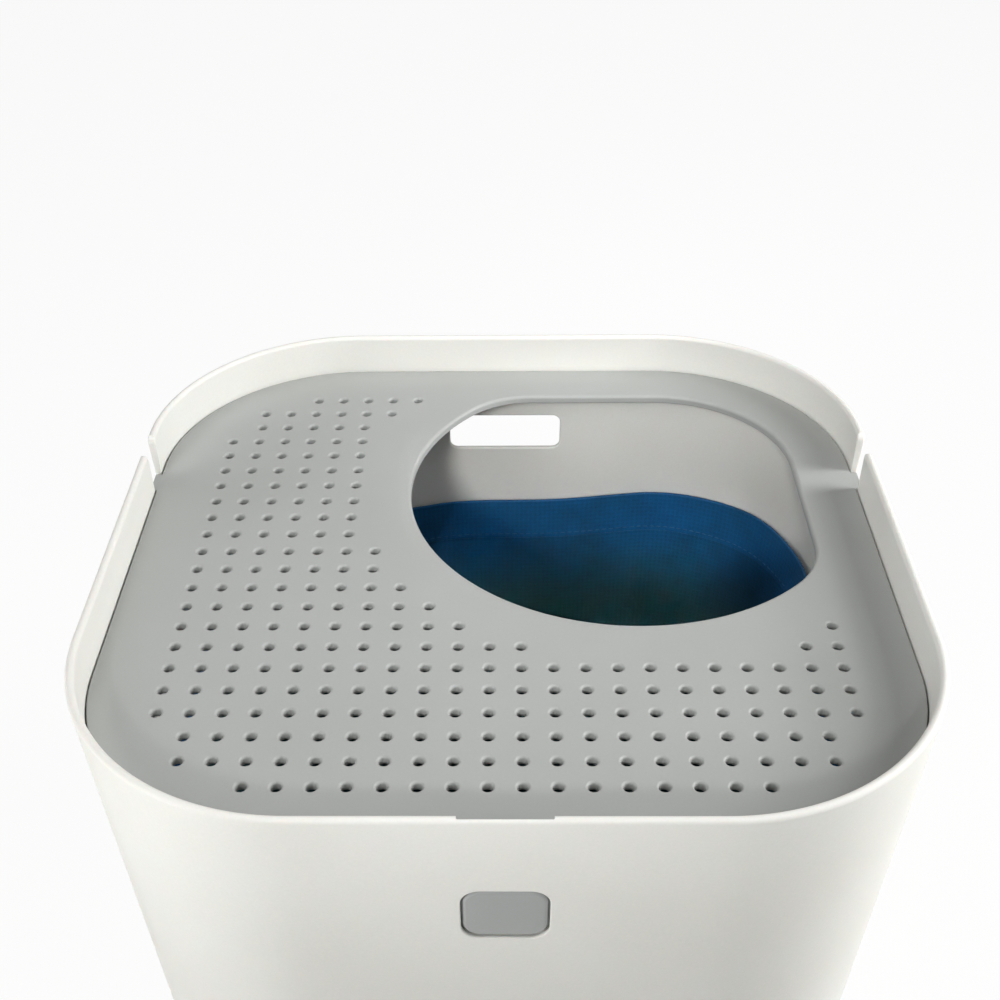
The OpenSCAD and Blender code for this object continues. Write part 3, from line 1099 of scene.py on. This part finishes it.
def woven(name, light, dark, thread, low="#2a4c50"):
    """Coated woven sheet: over and under threads of a given width, in millimetres.

    A checker two threads wide picks the warp's wave or the weft's. The colour turns to the
    low one as the height falls between two set heights: painted shade, deep in the covered tub.
    """
    material, tree, output = new_material(name)
    along = add(tree, "TexCoord").outputs["UV"]
    where = add(tree, "TexCoord").outputs["Object"]
    turns = 2 * math.pi / 20 * per_mm(2 * thread)
    wave = {"Vector": along, "Scale": turns, "Distortion": 0.0}
    warp = add(tree, "TexWave", wave, bands_direction="X")
    weft = add(tree, "TexWave", wave, bands_direction="Y")
    over = add(tree, "TexChecker", {"Vector": along, "Scale": per_mm(thread)})
    height = blend_colours(tree, over.outputs[1], warp.outputs[0], weft.outputs[0])
    stain = add(tree, "TexNoise", {"Vector": where, "Scale": per_mm(45), "Detail": 4.0})
    slub = add(tree, "TexNoise", {"Vector": along, "Scale": per_mm(2.5), "Detail": 2.0})
    tone = blend_colours(tree, ranged(tree, stain.outputs[0], 0.0, 1.0), linear(dark), linear(light))
    # Painted shade: lower in the bag the tone turns to the dark low colour
    height_z = add(tree, "SeparateXYZ", {"Vector": where}).outputs[2]
    heights = {"Value": height_z, 1: painted_shade_low * MM, 2: painted_shade_top * MM, 3: 0.0, 4: 1.0}
    painted_shade_share = add(tree, "MapRange", heights, interpolation_type="SMOOTHSTEP")
    tone = blend_colours(tree, painted_shade_share.outputs[0], linear(low), tone)
    shade_off = ranged(tree, slub.outputs[0], 0.88, 1.08)
    grey = add(tree, "CombineColor", {0: shade_off, 1: shade_off, 2: shade_off})
    tone = blend_colours(tree, 1.0, tone, grey.outputs[0], "MULTIPLY")
    deep = blend_colours(tree, 0.18, tone, height, "MULTIPLY")
    threads = add(tree, "Bump", {"Strength": 0.5, "Distance": 0.1 * MM, "Height": height})
    crease = add(tree, "TexNoise", {
        "Vector": where, "Scale": per_mm(32), "Detail": 3.0, "Distortion": 0.6,
    })
    creased = add(tree, "Bump", {
        "Strength": 0.5, "Distance": 2.5 * MM, "Height": crease.outputs[0], "Normal": threads.outputs[0],
    })
    shader = add(tree, "BsdfPrincipled", {
        "Base Color": deep, "Roughness": ranged(tree, slub.outputs[0], 0.5, 0.66),
        "Normal": creased.outputs[0], "IOR": 1.4, "Sheen Weight": 0.04,
    })
    tree.links.new(shader.outputs[0], output.inputs["Surface"])
    return material


liner_weave = woven("woven polyethylene sheet, blue", "#0c5a90", "#0f4362", thread_w)
# The hem's copy of the weave is a little lighter than the liner's: painted light on the bag's top edge
lit_hem_weave = woven("woven polyethylene sheet, blue, hem", "#0c5f9a", "#0f4b72", thread_w)
print(f"threads drawn {thread_w} mm wide, dark below {painted_shade_low} mm")

# %% [markdown]
# ## Thread, steel and rubber
# Three small finishes are left: the sewing thread, the drawn wire of the latch's spring
# and the rubber of the feet. One function makes all three, since each is a base colour
# with a fine streak or grain, and only the numbers differ.

# %% Small finishes


def plain_finish(name, light, dark, rough, metal=0.0, streak=0.4, stretch=(1, 1, 1), depth=0.02):
    """A small part's finish: a grain of one size, stretched along an axis, over two colours."""
    material, tree, output = new_material(name)
    place = add(tree, "TexCoord").outputs["Object"]
    pulled = add(tree, "VectorMath", {0: place, 1: stretch}, operation="MULTIPLY")
    grain = add(tree, "TexNoise", {"Vector": pulled.outputs[0], "Scale": per_mm(streak), "Detail": 3.0})
    share = ranged(tree, grain.outputs[0], 0.0, 1.0)
    bump_node = add(tree, "Bump", {"Strength": 0.4, "Distance": depth * MM, "Height": grain.outputs[0]})
    shader = add(tree, "BsdfPrincipled", {
        "Base Color": blend_colours(tree, share, linear(dark), linear(light)),
        "Roughness": ranged(tree, grain.outputs[0], rough - 0.06, rough + 0.06),
        "Metallic": metal, "IOR": 1.5, "Normal": bump_node.outputs[0],
    })
    tree.links.new(shader.outputs[0], output.inputs["Surface"])
    return material


sewing_thread = plain_finish(
    "polyester sewing thread", "#2a6190", "#235278", 0.6, streak=0.3, stretch=(1, 1, 3),
)
spring_steel = plain_finish("drawn spring wire", "#c9cacc", "#a8aaad", 0.3, metal=1.0, streak=0.15)
foot_rubber = plain_finish("matt grey rubber", "#55575a", "#46484a", 0.75, streak=0.6, depth=0.04)

# %% Each piece gets its finish
nodes = frame["nodes"]
feet = [nodes[name] for name in sorted(nodes) if name.startswith("foot_")]
cover([tub], white_plastic)
cover([lid, nodes["lid_catch"]], grey_plastic)
cover([button], key_plastic)
cover([nodes["latch_housing"]], inner_plastic)
cover([liner], liner_weave)
cover([hem], lit_hem_weave)
cover([stitches], sewing_thread)
cover([nodes["latch_spring"]], spring_steel)
cover(feet, foot_rubber)
print("rubber feet:", [foot.name for foot in feet])

# %% [markdown]
# ## Edges of the small parts
# The catch, the latch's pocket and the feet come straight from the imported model, with
# sharp edges. A Bevel modifier rounds them, as their mould would, and leaves the points
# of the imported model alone.

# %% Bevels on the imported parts
rounded = [(nodes["lid_catch"], 0.5), (nodes["latch_housing"], 0.4)]
rounded += [(foot, 0.3) for foot in feet]
for piece, width in rounded:
    soft = piece.modifiers.new("moulded edge", "BEVEL")
    soft.width = width * MM
    soft.segments = 2
    soft.limit_method = "ANGLE"
    soft.angle_limit = math.radians(40)
    shade(piece, 40)
shade(nodes["latch_spring"], 60)
print("rounded:", [(piece.name, width) for piece, width in rounded])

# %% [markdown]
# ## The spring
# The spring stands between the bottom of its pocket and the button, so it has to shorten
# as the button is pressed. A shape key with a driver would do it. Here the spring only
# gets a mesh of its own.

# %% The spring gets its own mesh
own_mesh(nodes["latch_spring"])

# %% [markdown]
# ## Camera, floor and light
# The camera stands where the photographer's did: in front, above, and looking down into
# the tub. The photograph shows a product on pure white, so the floor glows towards the
# camera and still takes part of the object's shadow.

# %% Camera
stand = (0, -0.5412, 0.7724)
tilt = math.radians(42.65)
yaw = math.radians(-1.08)
roll = math.radians(-0.78)
forward = np.array([math.sin(yaw) * math.cos(tilt), math.cos(yaw) * math.cos(tilt), -math.sin(tilt)])
level = np.array([math.cos(yaw), -math.sin(yaw), 0])
upward = np.cross(level, forward)
right = level * math.cos(roll) + upward * math.sin(roll)
upward = upward * math.cos(roll) - level * math.sin(roll)
lens = bpy.data.cameras.new("camera")
lens.sensor_width = 36
lens.lens = 46.19
lens.shift_x = 0.0127
lens.shift_y = 0.1755
camera = bpy.data.objects.new("camera", lens)
turned = Matrix(np.column_stack([right, upward, -forward]).tolist()).to_4x4()
camera.matrix_world = Matrix.Translation(stand) @ turned
bpy.context.scene.collection.objects.link(camera)
bpy.context.scene.camera = camera
bpy.context.scene.view_settings.view_transform = "Standard"
print(f"camera at {stand} m, looking down {math.degrees(tilt):.1f} degrees")

# %% Floor
floor_half = 6000
floor_drop = 0.5
floor_glow = 0.93
floor_path = square_path(floor_half / 2, floor_half / 2, 2)
floor_section = [[0, -floor_drop], [floor_half / 2, -floor_drop]]
floor = make("floor", [skin(carry(floor_path, floor_section, [0, 1]))])
material, tree, output = new_material("pale studio floor")
place = add(tree, "TexCoord").outputs["Object"]
cloud = add(tree, "TexNoise", {"Vector": place, "Scale": per_mm(400), "Detail": 3.0})
paint = blend_colours(tree, cloud.outputs[0], linear("#ececea"), linear("#f2f2f0"))
matt = add(tree, "BsdfDiffuse", {"Color": paint, "Roughness": 0.5})
glow = add(tree, "Emission", {"Color": (1, 1, 1, 1), "Strength": 1.0})
seen = add(tree, "LightPath").outputs["Is Camera Ray"]
part = add(tree, "Math", {0: seen, 1: floor_glow}, operation="MULTIPLY")
both = add(tree, "MixShader", {0: part.outputs[0], 1: matt.outputs[0], 2: glow.outputs[0]})
tree.links.new(both.outputs[0], output.inputs["Surface"])
cover([floor], material)
report(floor)

# %% Surroundings
room_light = 0.07
world = bpy.data.worlds.new("white studio")
bpy.context.scene.world = world
world.use_nodes = True
tree = world.node_tree
tree.nodes.clear()
seen = add(tree, "LightPath").outputs["Is Camera Ray"]
room = add(tree, "Background", {"Color": (1, 1, 1, 1), "Strength": room_light})
backdrop = add(tree, "Background", {"Color": (1, 1, 1, 1), "Strength": 1.0})
both = add(tree, "MixShader", {0: seen, 1: room.outputs[0], 2: backdrop.outputs[0]})
tree.links.new(both.outputs[0], add(tree, "OutputWorld").inputs["Surface"])
print(f"the room lights the object at {room_light}, and the camera sees white")

# %% [markdown]
# ## Lamps
# White plastic shows its form only through soft shading. The photograph has a broad
# light low on the right, from which the tub's rim shades the lid's right edge. A small
# one stands near the front wall's left half and fades along the wall, and weaker ones
# fill the rest. Two narrow lights reach through the opening: a spot lamp onto the rear
# wall and a nearly parallel beam onto the liner.

# %% Lamps


def lamp(name, azimuth, elevation, watts, distance=2.0, size=0.9, height=None,
         aim=(0, 0, 0.3), beam=None, spread=180):
    """A lamp at a distance from the point that it faces: a soft box, or a spot with a beam.

    Lengths here are in metres. Azimuth 0 is the front and 90 the right. A beam is the
    angle of the spot's cone, and a spread is how far a box's light opens.
    """
    turn, rise = math.radians(azimuth), math.radians(elevation)
    away = Vector((math.sin(turn) * math.cos(rise), -math.cos(turn) * math.cos(rise), math.sin(rise)))
    data = bpy.data.lights.new(name, "SPOT" if beam else "AREA")
    data.energy = watts
    if beam:
        data.shadow_soft_size = size / 2
        data.spot_size = math.radians(beam)
        data.spot_blend = 1
    else:
        data.shape = "RECTANGLE"
        data.size = size
        data.size_y = height or size
        data.spread = math.radians(spread)
    piece = bpy.data.objects.new(name, data)
    place = Matrix.Translation(Vector(aim) + distance * away)
    piece.matrix_world = place @ away.to_track_quat("Z", "Y").to_matrix().to_4x4()
    piece.visible_camera = False
    bpy.context.scene.collection.objects.link(piece)


lamp("soft box, right", 90, 28, 22.3)
lamp("lamp, right", 90, 20, 7.7, size=0.25)
lamp("soft box, front right", 45, 28, 5.2)
lamp("soft box, rear", 180, 35, 1.2)
lamp("near box, front left", -50, 35, 2.1, distance=0.95, size=0.4)
lamp("near box, front left, low", -55, 8, 2.0, distance=0.8, size=0.3)
lamp("near box, right", 90, 40, 2.2, distance=0.95, size=0.3)
lamp("near box, rear left", -130, 60, 2.2, distance=0.95, size=0.4)
lamp("spot into the opening", -10, 30, 97, size=0.3, aim=(0.05, 0.16, 0.33), beam=14)
lamp(
    "beam onto the liner", 0, 58, 0.028, distance=1.0, size=0.2, height=0.075,
    aim=(0.055, 0.07, 0.357), spread=3,
)
